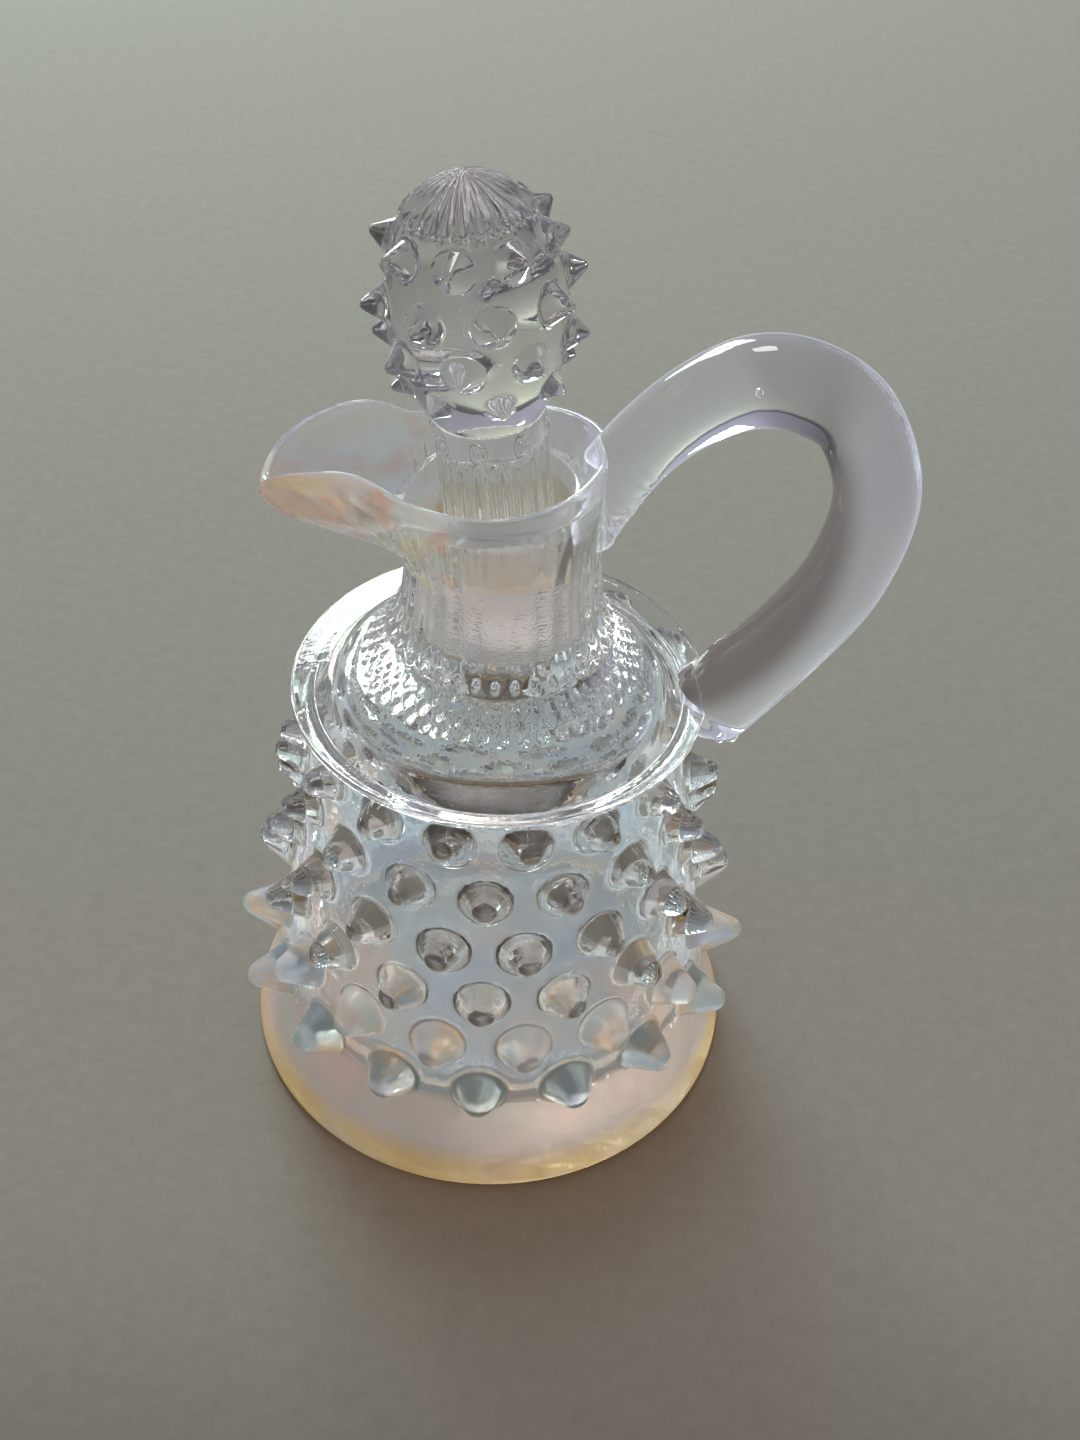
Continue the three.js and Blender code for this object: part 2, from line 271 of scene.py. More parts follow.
# The outer side of the lip, from the neck at 0 to the rim at 1, with a fan of fine ridges
def lipOutside(part):
    def place(angle):
        b, share = bottle, spoutShare(angle)
        reach = b["rimRadius"] + b["spoutReach"] * share
        radius = mix(b["lipFoot"][0], reach, ease(part ** b["lipCurve"], 0, 1))
        sag = b["spoutSag"] * share * math.sin(math.pi * part ** 2)
        height = mix(b["lipFoot"][1], rimTop(angle), part - sag)
        fade = ease(part, mix(*b["ribFadeStart"], share), mix(*b["ribFadeEnd"], share))
        fan = b["fanDepth"] * hump(fromSpout(angle), b["fanAngle"], b["fanSpread"])
        fan *= hump(part, b["fanMiddle"], b["fanLength"])
        rib = ribWave(angle) * (1 - fade) + fan * math.cos(b["fanRibs"] * angle)
        slope = share * b["spoutSlope"]
        return radius + rib * math.cos(slope), height - rib * math.sin(slope)
    return place


# The fire-polished edge, from its outer side at 0 over the top to its inner side at 1
def rimRound(part):
    def place(angle):
        b, share = bottle, spoutShare(angle)
        half = (b["rimThickness"] + b["spoutWallExtra"] * share) / 2
        middle = b["rimRadius"] + b["spoutReach"] * share - half
        turn = math.pi * part
        return middle + half * math.cos(turn), rimTop(angle) + half * math.sin(turn)
    return place


# The inner side of the lip, from the rim at 0 to the throat at 1
def lipInside(part):
    def place(angle):
        b, share = bottle, spoutShare(angle)
        edge = b["rimRadius"] - b["rimThickness"] + (b["spoutReach"] - b["spoutWallExtra"]) * share
        throat = b["throatRadius"] - b["throatShift"] * math.cos(angle) + b["throatStretch"] * share
        floor = b["throatHeight"] - b["spoutDepth"] * share
        height = mix(rimTop(angle), floor, ease(part ** b["lipInsideCurve"], 0, 1))
        return mix(edge, throat, part), height - b["spoutFloorDip"] * share * math.sin(math.pi * part)
    return place


# From the throat at 0 down to the top of the ground socket at 1
def throatFunnel(part):
    def place(angle):
        radius, height = lipInside(1)(angle)
        top = bottle["socketTop"]
        return mix(radius, top[0], part ** bottle["funnelCurve"]), mix(height, top[1], part)
    return place


# A ring moved in and out a little, as fire-polished glass is never quite true
def wavyRing(point, amount, part):
    seed = Vector((bottle["waveSeeds"][part], 0, 0))
    moved = []
    for p in plainRing(bottle["columns"], *point):
        swell = noise.noise(p / bottle["waveLength"] + seed)
        out = Vector((p.x, p.y, 0)).normalized()
        moved.append(p + out * swell * amount)
    return moved


def outsideRings():
    b, steps = bottle, bottle["steps"]
    count = b["columns"]
    rings = [plainRing(count, *p) for p in smoothLine(b["footOutline"], steps["foot"])[:-1]]
    for p in smoothLine(b["wallOutline"], steps["wall"])[:-1]:
        rings.append(wavyRing(p, b["waviness"], "wall"))
    for p in smoothLine(b["flangeOutline"], steps["flange"])[:-1]:
        rings.append(wavyRing(p, b["flangeWaviness"], "flange"))
    for radius, height in smoothLine(b["shoulderOutline"], steps["shoulder"]):
        rings.append(ringOf(count, lambda angle: (radius + neckRib(angle, height), height)))
    return rings + [ringOf(count, lipOutside((i + 1) / steps["lip"])) for i in range(steps["lip"])]


def insideRings():
    b, steps = bottle, bottle["steps"]
    count = b["columns"]
    rings = [ringOf(count, lipInside(i / steps["lipInside"])) for i in range(steps["lipInside"])]
    rings += [ringOf(count, throatFunnel(i / steps["funnel"])) for i in range(steps["funnel"])]
    for i in range(steps["socket"]):
        socket = [mix(*ends, i / steps["socket"]) for ends in zip(b["socketTop"], b["socketFoot"])]
        rings.append(plainRing(count, *socket))
    for p in smoothLine(b["hollowOutline"], steps["hollow"]):
        amount = b["waviness"] * min(b["hollowWaveMost"], p[0] / b["hollowWaveRadius"])
        rings.append(wavyRing(p, amount, "hollow"))
    return rings


def bodyHobs():
    b = bottle
    places = []
    last = len(b["hobRows"]) - 1
    for row, height in enumerate(b["hobRows"]):
        share = row / last
        base, rise, tip = (mix(*b[key], share) for key in ("hobBase", "hobHeight", "hobTip"))
        for i in range(b["hobsPerRow"]):
            azimuth = -90 + (i + 0.5 * (row % 2)) * 360 / b["hobsPerRow"]
            fromHandle = min(abs(azimuth), abs(azimuth - 360))
            if row < last or fromHandle > b["handleFootAngle"]:
                side = math.cos(math.radians(azimuth)) ** 2
                length = rise + mix(*b["hobSideExtra"], share) * side
                ball = tip + b["hobFrontTip"] * (1 - side)
                wall = radiusOn(b["wallOutline"], height)
                hob = hobMesh(base, length, ball, (0, 1 / wall), b)
                tilt = math.radians(mix(*b["hobTilt"], side))
                places.append((hob, turnedPlace(wall, height, azimuth, tilt)))
    return gather("bodyHobs", places)


def makeBottle():
    b = bottle
    edgeSteps = b["steps"]["edge"]
    edge = [ringOf(b["columns"], rimRound(i / edgeSteps)) for i in range(1, edgeSteps)]
    floor = Vector((0, 0, b["hollowOutline"][-1][1]))
    mesh = skinMesh("pressedBottle", outsideRings() + edge + insideRings(), Vector(), floor)
    piece = makePiece("pressedBottle", mesh)
    combine(piece, bodyHobs(), "UNION")
    return piece


bottlePiece = makeBottle()
print("bottle made:", len(bottlePiece.data.polygons), "faces")


# Handle

# The path's points are [x, z, radius] of the rod
handle = dict(
    path=[[8.2, 81, 4.1], [11.2, 87, 4.1], [15, 92.6, 4.1], [19.8, 97.2, 4.4], [25.3, 100, 4.8],
          [31, 99.5, 4.8], [36.4, 95.8, 4.6], [39.8, 86.8, 4.7], [38, 75.8, 4.7], [33, 66.7, 4.8],
          [27.6, 59.4, 5.1], [25.4, 54.8, 4.4], [25, 52.9, 2.6], [24.9, 52.2, 0.9]],
    steps=200, sides=72, tipLength=0.3,
    rootFolds=0.17, rootFoldLength=1.7, rootFade=(5.5, 11),
    tongueReach=1.2, tongueHeight=59.7, tongueHalfHeight=0.8, tongueBelow=70,
    fuseDepth=0.12, smoothAngle=50,
    drips=[(0.95, (28.0, -1.3, 52.45)), (0.6, (26.6, -2.4, 52.75))],
    bubble=(0.42, (25.4, -2.2, 100.3)),
)


# The bottle's outside as one filled solid, a little smaller than the bottle
def filledBottle():
    inset = handle["fuseDepth"]
    rings = []
    for ring in outsideRings():
        rings.append([Vector((p.x, p.y, 0)).normalized() * -inset + p for p in ring])
    top = Vector((0, 0, rimTop(math.pi / 2)))
    return skinMesh("filledBottle", rings, Vector(), top)


def ballMesh(radius, centre, sides=20):
    rings = []
    for i in range(1, sides // 2):
        turn = 2 * math.pi * i / sides
        rings.append(plainRing(sides, radius * math.sin(turn), -radius * math.cos(turn)))
    ball = skinMesh("ball", rings, Vector((0, 0, -radius)), Vector((0, 0, radius)))
    ball.transform(Matrix.Translation(Vector(centre) * mm))
    return ball


def makeHandle():
    h = handle
    line = smoothLine(h["path"], h["steps"])
    side = Vector((0, 1, 0))
    rings = []
    travelled = 0.0
    for i, (x, z, radius) in enumerate(line):
        before, after = line[max(0, i - 1)], line[min(len(line) - 1, i + 1)]
        along = Vector((after[0] - before[0], 0, after[1] - before[1])).normalized()
        travelled += math.dist(line[i][:2], before[:2])
        root = 1 - ease(travelled, *h["rootFade"])
        fold = h["rootFolds"] * root * math.sin(2 * math.pi * travelled / h["rootFoldLength"])
        out = along.cross(side)
        ring = []
        for j in range(h["sides"]):
            angle = -2 * math.pi * j / h["sides"]
            reach = radius + fold * (0.5 + 0.5 * math.cos(angle * 2 + travelled))
            p = Vector((x, 0, z)) + out * reach * math.cos(angle) + side * reach * math.sin(angle)
            lap = h["tongueReach"] * hump(p.z, h["tongueHeight"], h["tongueHalfHeight"])
            if z < h["tongueBelow"]:
                p.x -= lap * max(0.0, x - p.x) / radius
            ring.append(p)
        rings.append(ring)
    start = Vector((line[0][0], 0, line[0][1]))
    tip = Vector((line[-1][0], 0, line[-1][1] - h["tipLength"]))
    piece = makePiece("drawnHandle", skinMesh("drawnHandle", rings, start, tip))
    for radius, centre in h["drips"]:
        combine(piece, ballMesh(radius, centre), "UNION")
    combine(piece, ballMesh(*h["bubble"]), "DIFFERENCE")
    combine(piece, filledBottle(), "DIFFERENCE")
    return piece


handlePiece = makeHandle()
print("handle made:", len(handlePiece.data.polygons), "faces")


# Stopper

# Heights are along the stopper's own axis, from its pivot
stopper = dict(
    pivot=77, columns=480, steps=dict(plug=12, stem=21, collar=11, knob=39, cap=16),
    plugFoot=-9.5, plugFootRadius=5.2, plugTopRadius=5.75, plugChamfer=0.45, groundTop=0.3,
    stemRadius=5.85, stemFoot=0.5, stemTop=15,
    stemRibs=20, stemRibDepth=0.22, stemRibStart=1.6, stemRibEnd=14,
    collarFoot=15.15, collarTop=18.3, collarRadius=6.0, collarHeight=16.5,
    collarBumps=8, collarBumpRise=0.55, collarBumpHalfHeight=0.8, collarBumpPower=3,
    knobFoot=18.4, knobCentre=30.5, knobRadius=9.1, knobHalfHeights=(15.8, 12.9), knobTop=39.75,
    capHeight=40.1, capRadius=6.2, capScallop=0.6, capTop=43.94, capRays=24, rayDepth=0.42,
    capEdge=[(-0.12, 0.37), (0.1, 0.17), (0.35, 0.15), (0.6, 0.25), (0.8, 0.45)],  # rise and inset
    capRoundness=0.92, capTaper=0.95, rayFade=0.5, petalWidth=0.7,
    hobRows=[23.1, 27.4, 32.2, 37.5], hobsPerRow=8, hobTurn=-97, hobTilt=0.8,
    hobBase=[1.6, 2.05, 2.1, 2.05], hobHeight=[1.7, 2.3, 2.5, 2.4], hobTip=0.6,
    hobSides=36, hobSteps=5, hobSink=0.8, hobFlare=0.3,
    smoothAngle=38,
)
liftAxis = Vector(frame["joints"][0]["axis"])


def knobHalf(height):
    return stopper["knobHalfHeights"][0 if height < stopper["knobCentre"] else 1]


def knobRadiusAt(height):
    s = stopper
    return s["knobRadius"] * math.sqrt(1 - ((height - s["knobCentre"]) / knobHalf(height)) ** 2)


def plugAndStemRings():
    s, steps = stopper, stopper["steps"]
    count = s["columns"]
    foot, chamfer = s["plugFoot"], s["plugChamfer"]
    rings = [plainRing(count, s["plugFootRadius"] - chamfer, foot)]
    for i in range(steps["plug"] + 1):
        part = i / steps["plug"]
        radius = mix(s["plugFootRadius"], s["plugTopRadius"], part)
        rings.append(plainRing(count, radius, mix(foot + chamfer, 0, part)))
    for i in range(steps["stem"] + 1):
        height = mix(s["stemFoot"], s["stemTop"], i / steps["stem"])
        fade = 1 - ease(height, s["stemRibEnd"], s["stemTop"])
        rib = s["stemRibDepth"] * ease(height, s["stemFoot"], s["stemRibStart"]) * fade
        rings.append(ringOf(count, lambda angle: (
            s["stemRadius"] + rib * math.cos(s["stemRibs"] * angle), height)))
    return rings


def collarRings():
    s, steps = stopper, stopper["steps"]["collar"]
    turn = math.radians(s["hobTurn"])
    rings = []
    for i in range(steps + 1):
        height = mix(s["collarFoot"], s["collarTop"], i / steps)
        rise = s["collarBumpRise"] * hump(height, s["collarHeight"], s["collarBumpHalfHeight"])

        def place(angle):
            bump = max(0.0, math.cos(s["collarBumps"] * (angle - turn))) ** s["collarBumpPower"]
            return s["collarRadius"] + rise * bump, height

        rings.append(ringOf(s["columns"], place))
    return rings


# 1 along the middle of each of the cap's rays, 0 between them
def petal(angle):
    return abs(math.cos(stopper["capRays"] / 2 * angle)) ** stopper["petalWidth"]


def capEdgeRadius(angle, inset):
    return stopper["capRadius"] - inset + stopper["capScallop"] * petal(angle)


def capRings():
    s, steps = stopper, stopper["steps"]["cap"]
    rings = []
    for rise, inset in s["capEdge"]:
        rings.append(ringOf(s["columns"], lambda angle: (
            capEdgeRadius(angle, inset), s["capHeight"] + rise)))
    rise, inset = s["capEdge"][-1]
    for i in range(1, steps):
        part = i / steps
        roundness = math.sin(part * math.pi / 2) ** s["capRoundness"]
        height = mix(s["capHeight"] + rise, s["capTop"], roundness)
        rayDepth = s["rayDepth"] * (1 - part) ** s["rayFade"]
        rings.append(ringOf(s["columns"], lambda angle: (
            capEdgeRadius(angle, inset) * (1 - part) ** s["capTaper"],
            height - rayDepth * (1 - petal(angle)))))
    return rings


def knobHobs():
    s = stopper
    places = []
    for row, height in enumerate(s["hobRows"]):
        slope = (height - s["knobCentre"]) * s["knobRadius"] ** 2 / knobHalf(height) ** 2
        tilt = s["hobTilt"] * math.atan2(slope, knobRadiusAt(height))
        bends = (s["knobRadius"] / knobHalf(height) ** 2, 1 / knobRadiusAt(height))
        hob = hobMesh(s["hobBase"][row], s["hobHeight"][row], s["hobTip"], bends, s)
        for i in range(s["hobsPerRow"]):
            azimuth = s["hobTurn"] + (i + (0 if row % 2 else 0.5)) * 360 / s["hobsPerRow"]
            places.append((hob, turnedPlace(knobRadiusAt(height), height, azimuth, tilt)))
    return gather("knobHobs", places)


def makeStopper():
    s, steps = stopper, stopper["steps"]["knob"]
    knob = []
    for i in range(steps + 1):
        height = mix(s["knobFoot"], s["knobTop"], i / steps)
        knob.append(plainRing(s["columns"], knobRadiusAt(height), height))
    rings = plugAndStemRings() + collarRings() + knob + capRings()
    foot, top = Vector((0, 0, s["plugFoot"])), Vector((0, 0, s["capTop"]))
    mesh = skinMesh("hobbedStopper", rings, foot, top)
    piece = makePiece("hobbedStopper", mesh)
    combine(piece, knobHobs(), "UNION")
    lean = Matrix.Rotation(math.atan2(liftAxis.x, liftAxis.z), 4, "Y")
    piece.data.transform(Matrix.Translation((0, 0, s["pivot"] * mm)) @ lean)
    return piece


stopperPiece = makeStopper()
print("stopper made:", len(stopperPiece.data.polygons), "faces")


# Materials

def nodeGroup(name, inputs, outputs):
    group = bpy.data.node_groups.new(name, "ShaderNodeTree")
    kinds = dict(value="NodeSocketFloat", colour="NodeSocketColor", vector="NodeSocketVector")
    for label, kind, value in inputs:
        socket = group.interface.new_socket(name=label, in_out="INPUT", socket_type=kinds[kind])
        if value is not None:
            socket.default_value = value
    for label, kind in outputs:
        group.interface.new_socket(name=label, in_out="OUTPUT", socket_type=kinds[kind])
    return group, group.nodes.new("NodeGroupInput"), group.nodes.new("NodeGroupOutput")


# A node with its settings, and its inputs given as fixed values or as sockets to link
def addNode(tree, kind, inputs, **settings):
    node = tree.nodes.new(kind)
    for name, value in settings.items():
        setattr(node, name, value)
    for label, value in inputs.items():
        socket = node.inputs[label]
        if isinstance(value, bpy.types.NodeSocket):
            tree.links.new(value, socket)
        else:
            socket.default_value = value
    return node


def calculate(tree, operation, *values):
    return addNode(tree, "ShaderNodeMath", dict(enumerate(values)), operation=operation).outputs["Value"]


def mixColours(tree, share, first, second, blend="MIX"):
    return addNode(tree, "ShaderNodeMix", {
        "Factor": share, 6: first, 7: second}, data_type="RGBA", blend_type=blend).outputs[2]


# A value's way from a start to an end, as a value from low to high, which eases in and out if soft
def mapValue(tree, value, start, end, low=0.0, high=1.0, soft=False):
    return addNode(tree, "ShaderNodeMapRange", {
        "Value": value, "From Min": start, "From Max": end, "To Min": low, "To Max": high},
        interpolation_type="SMOOTHSTEP" if soft else "LINEAR").outputs["Result"]


# Slow swells and faint fine waves of pressed, fire-polished glass, as a height
def makeRippleGroup():
    group, given, put = nodeGroup("glassRipple", [
        ("Vector", "vector", None), ("Swell Scale", "value", 120.0), ("Fine Scale", "value", 700.0),
        ("Fine Share", "value", 0.25)], [("Height", "value")])
    take = given.outputs
    swell = addNode(group, "ShaderNodeTexNoise", {
        "Vector": take["Vector"], "Scale": take["Swell Scale"], "Detail": 1.0})
    fine = addNode(group, "ShaderNodeTexNoise", {
        "Vector": take["Vector"], "Scale": take["Fine Scale"], "Detail": 2.0})
    both = calculate(group, "MULTIPLY_ADD", fine.outputs["Fac"], take["Fine Share"], swell.outputs["Fac"])
    group.links.new(both, put.inputs["Height"])
    return group


# Colour of struck opal glass: it changes along one direction, with soft blotches of two other colours
def makeStrikeGroup():
    group, given, put = nodeGroup("strikeColour", [
        ("Vector", "vector", None), ("Direction", "vector", (0, 0, 1)),
        ("Start", "value", 0.0), ("End", "value", 0.05), ("Sway", "value", 0.006),
        ("First Colour", "colour", (1, 1, 1, 1)), ("Last Colour", "colour", (1, 1, 1, 1)),
        ("Warm Blotch", "colour", (1, 1, 1, 1)), ("Cool Blotch", "colour", (1, 1, 1, 1)),
        ("Blotch Start", "value", 0.5), ("Blotch End", "value", 0.68),
        ("Blotch Scale", "value", 90.0), ("Blotch Share", "value", 0.5)], [("Colour", "colour")])
    take = given.outputs
    along = addNode(group, "ShaderNodeVectorMath", {
        0: take["Vector"], 1: take["Direction"]}, operation="DOT_PRODUCT")
    cloud = addNode(group, "ShaderNodeTexNoise", {
        "Vector": take["Vector"], "Scale": take["Blotch Scale"], "Detail": 1.5})
    middle = calculate(group, "SUBTRACT", cloud.outputs["Fac"], 0.5)
    swayed = calculate(group, "MULTIPLY_ADD", middle, take["Sway"], along.outputs["Value"])
    share = mapValue(group, swayed, take["Start"], take["End"], soft=True)
    colour = mixColours(group, share, take["First Colour"], take["Last Colour"])
    parts = addNode(group, "ShaderNodeSeparateColor", {"Color": cloud.outputs["Color"]})
    for channel, label in (("Red", "Warm Blotch"), ("Blue", "Cool Blotch")):
        patch = mapValue(group, parts.outputs[channel], take["Blotch Start"], take["Blotch End"],
                         high=take["Blotch Share"])
        colour = mixColours(group, patch, colour, take[label])
    group.links.new(colour, put.inputs["Colour"])
    return group


# A mask of 1 inside a soft arc about a centre, which ends at a height
def makeArcGroup():
    group, given, put = nodeGroup("softArc", [
        ("Vector", "vector", None), ("Centre", "vector", (0, 0, 0)),
        ("Inside Start", "value", 0.02), ("Inside End", "value", 0.03),
        ("Outside Start", "value", 0.03), ("Outside End", "value", 0.02),
        ("Top Start", "value", 0.1), ("Top End", "value", 0.09)], [("Mask", "value")])
    take = given.outputs
    away = addNode(group, "ShaderNodeVectorMath", {
        0: take["Vector"], 1: take["Centre"]}, operation="DISTANCE").outputs["Value"]
    height = addNode(group, "ShaderNodeSeparateXYZ", {"Vector": take["Vector"]}).outputs["Z"]
    mask = 1.0
    for label, value in (("Inside", away), ("Outside", away), ("Top", height)):
        fade = mapValue(group, value, take[label + " Start"], take[label + " End"], soft=True)
        mask = calculate(group, "MULTIPLY", fade, mask)
    group.links.new(mask, put.inputs["Mask"])
    return group


rippleGroup = makeRippleGroup()
strikeGroup = makeStrikeGroup()
arcGroup = makeArcGroup()


# What every glass has in common
glassLook = dict(refraction=1.5, bumpDepth=1, milkyBelow=0.97, scatterRadius=(1.0, 0.85, 0.7),
                 edgeLightSharpness=2.6, coreGlow=0.14)


# Glass that lets lamps and bounced light straight through, so that its shadow is soft and tinted.
# What isn't clear is milky, and milky glass scatters light under its surface. Struck glass changes
# colour and has a faint painted glow, its edge a painted edge light, and a band painted shade.
def glassMaterial(name, clearness=1.0, roughness=0.02, ripple=0.12, shade=(0.96, 0.96, 0.95), tint=None,
                  strike=None, edge=None, paintedShadeBand=None, paintedShadeArc=None, paintedGlow=0.0, depth=6,
                  fineScale=700.0, fineShare=0.25):
    look = glassLook
    material = bpy.data.materials.new(name)
    material.use_nodes = True
    tree = material.node_tree
    tree.nodes.clear()
    place = addNode(tree, "ShaderNodeTexCoord", {}).outputs["Object"]
    height = addNode(tree, "ShaderNodeGroup", {
        "Vector": place, "Fine Scale": fineScale, "Fine Share": fineShare}, node_tree=rippleGroup)
    bump = addNode(tree, "ShaderNodeBump", {
        "Strength": ripple, "Distance": look["bumpDepth"] * mm, "Height": height.outputs["Height"]})
    glass = addNode(tree, "ShaderNodeBsdfPrincipled", {
        "Roughness": roughness, "Transmission Weight": clearness, "IOR": look["refraction"],
        "Normal": bump.outputs["Normal"]})
    if clearness < look["milkyBelow"]:
        glass.inputs["Subsurface Weight"].default_value = 1.0
        glass.inputs["Subsurface Radius"].default_value = look["scatterRadius"]
        glass.inputs["Subsurface Scale"].default_value = depth * mm
    if strike:
        shown = addNode(tree, "ShaderNodeGroup", {
            "Vector": place, **strike}, node_tree=strikeGroup).outputs["Colour"]
        glow = shown
        if edge:
            # Painted edge light: towards grazing angles the colour and the glow turn to the edge colour, in
            # place of the sky seen in the rod's edges
            facing = addNode(tree, "ShaderNodeLayerWeight", {"Blend": 0.5}).outputs["Facing"]
            thin = calculate(tree, "POWER", facing, look["edgeLightSharpness"])
            core = [look["coreGlow"] * part for part in edge]
            shown = mixColours(tree, thin, shown, (*edge, 1))
            glow = mixColours(tree, thin, (*core, 1), (*edge, 1))
        if paintedShadeBand:
            # Painted shade: inside the arc the colour turns to the band's dark colour and the glow goes out
            mask = addNode(tree, "ShaderNodeGroup", {
                "Vector": place, **paintedShadeArc}, node_tree=arcGroup).outputs["Mask"]
            shown = mixColours(tree, mask, shown, (*paintedShadeBand, 1))
            glow = mixColours(tree, mask, glow, (0, 0, 0, 1))
        # The emission is a painted glow: it stands in for window light scattered through the milky glass
        tree.links.new(glow, glass.inputs["Emission Color"])
        tree.links.new(shown, glass.inputs["Base Color"])
        glass.inputs["Emission Strength"].default_value = paintedGlow
    else:
        glass.inputs["Base Color"].default_value = (*tint, 1)
    path = addNode(tree, "ShaderNodeLightPath", {}).outputs
    passing = calculate(tree, "MAXIMUM", path["Is Shadow Ray"], path["Is Diffuse Ray"])
    lit = addNode(tree, "ShaderNodeBsdfTransparent", {"Color": (*shade, 1)})
    either = addNode(tree, "ShaderNodeMixShader", {
        "Fac": passing, 1: glass.outputs["BSDF"], 2: lit.outputs["BSDF"]})
    addNode(tree, "ShaderNodeOutputMaterial", {"Surface": either.outputs["Shader"]})
    return material


# Inputs of the strike's group from lengths in millimetres and plain colours
def strikeOf(direction, start, end, first, last, warm, cool, scale, share, sway=6):
    return {"Direction": direction, "Start": start * mm, "End": end * mm, "Sway": sway * mm,
            "First Colour": (*first, 1), "Last Colour": (*last, 1),
            "Warm Blotch": (*warm, 1), "Cool Blotch": (*cool, 1),
            "Blotch Scale": scale, "Blotch Share": share}


# Inputs of the arc's group, from lengths in millimetres
def arcOf(centre, **ends):
    inputs = {"Centre": Vector(centre) * mm}
    for label, (start, end) in ends.items():
        inputs[label.title() + " Start"] = start * mm
        inputs[label.title() + " End"] = end * mm
    return inputs


up = (0, 0, 1)
towardSpout = (-1, 0, 0)
nearSpout = (-0.75, -0.66, 0)
towardHandle = (1, 0, 0)
groundFinish = dict(fineScale=2600, fineShare=0.6)
# The glows below are painted glows that stand in for window light scattered through the milky glass
bottleGlasses = dict(
    clear=glassMaterial("clearShoulderGlass", tint=(0.965, 0.975, 0.97), shade=(0.9, 0.89, 0.87)),
    hob=glassMaterial("clearHobGlass", tint=(0.94, 0.96, 0.94), ripple=0.1, shade=(0.97, 0.95, 0.92)),
    # Upward hob faces with painted shade, darker towards the upper rows, in place of dark surroundings seen
    # through them
    paintedShadeHob=glassMaterial("paintedShadeHobGlass", 1.0, 0.02, 0.1, (0.9, 0.86, 0.82), strike=strikeOf(
        up, 24, 40, (0.8, 0.77, 0.72), (0.42, 0.36, 0.32), (0.3, 0.24, 0.2), (0.72, 0.72, 0.7), 130, 0.9)),
    wall=glassMaterial("opalWallGlass", 0.92, 0.03, 0.15, (0.7, 0.6, 0.52), paintedGlow=0.24, strike=strikeOf(
        up, 16, 40, (0.74, 0.78, 0.78), (0.68, 0.8, 0.85), (0.98, 0.74, 0.62), (0.6, 0.74, 0.95), 85, 0.6)),
    lowWall=glassMaterial("milkyWallGlass", 0.8, 0.1, 0.15, (0.64, 0.52, 0.42), paintedGlow=0.22, strike=strikeOf(
        up, 10, 20, (0.76, 0.72, 0.68), (0.72, 0.78, 0.78), (0.97, 0.66, 0.56), (0.6, 0.74, 0.84), 85, 0.6)),
    lowHob=glassMaterial("milkyHobGlass", 0.78, 0.12, 0.15, (0.95, 0.91, 0.88), paintedGlow=0.12, strike=strikeOf(
        up, 18, 20.5, (0.6, 0.72, 0.72), (0.82, 0.83, 0.82), (0.97, 0.7, 0.46), (0.5, 0.66, 0.86),
        150, 0.8, 2)),
    foot=glassMaterial("amberFootGlass", 0.42, 0.35, 0.15, (0.56, 0.4, 0.26), paintedGlow=0.18, strike=strikeOf(
        up, 2.2, 6.6, (0.88, 0.6, 0.24), (0.68, 0.62, 0.58), (0.92, 0.62, 0.56), (0.68, 0.72, 0.7),
        70, 0.45, 2)),
    # The underside's dark tint is painted shade under the foot
    under=glassMaterial("footUndersideShadedGlass", 1.0, 0.1, 0.3, (0.2, 0.15, 0.1), tint=(0.44, 0.4, 0.37)),
    inside=glassMaterial("opalHollowGlass", 0.98, 0.06, 0.3, (0.95, 0.9, 0.86), strike=strikeOf(
        up, 6, 34, (0.82, 0.84, 0.87), (0.9, 0.93, 0.96), (0.96, 0.84, 0.72), (0.76, 0.85, 0.95), 80, 0.4)),
    ground=glassMaterial("groundSocketGlass", 0.75, 0.3, 0.3, (0.95, 0.94, 0.93), paintedGlow=0.1, strike=strikeOf(
        up, 66, 78, (0.93, 0.86, 0.85), (0.94, 0.88, 0.86), (0.9, 0.8, 0.76), (0.72, 0.69, 0.7),
        240, 0.3), **groundFinish),
    throat=glassMaterial("amberThroatGlass", 0.96, 0.03, 0.12, (0.95, 0.92, 0.88), strike=strikeOf(
        up, 79, 86, (0.97, 0.84, 0.62), (0.96, 0.95, 0.9), (0.92, 0.76, 0.56), (0.9, 0.94, 0.9), 130, 0.4)),
    lipOuter=glassMaterial("amberLipGlass", 0.95, 0.02, 0.12, (0.95, 0.9, 0.85), paintedGlow=0.05, strike=strikeOf(
        nearSpout, 13, 21, (0.9, 0.93, 0.93), (0.93, 0.62, 0.42), (0.96, 0.46, 0.3), (0.95, 0.88, 0.5),
        220, 0.7)),
    lipInner=glassMaterial("blueLipGlass", 0.92, 0.02, 0.1, (0.93, 0.94, 0.95), paintedGlow=0.07, strike=strikeOf(
        towardSpout, -8, 20, (0.84, 0.87, 0.93), (0.8, 0.88, 0.96), (0.93, 0.97, 0.88), (0.7, 0.74, 1.0),
        60, 0.7)),
)
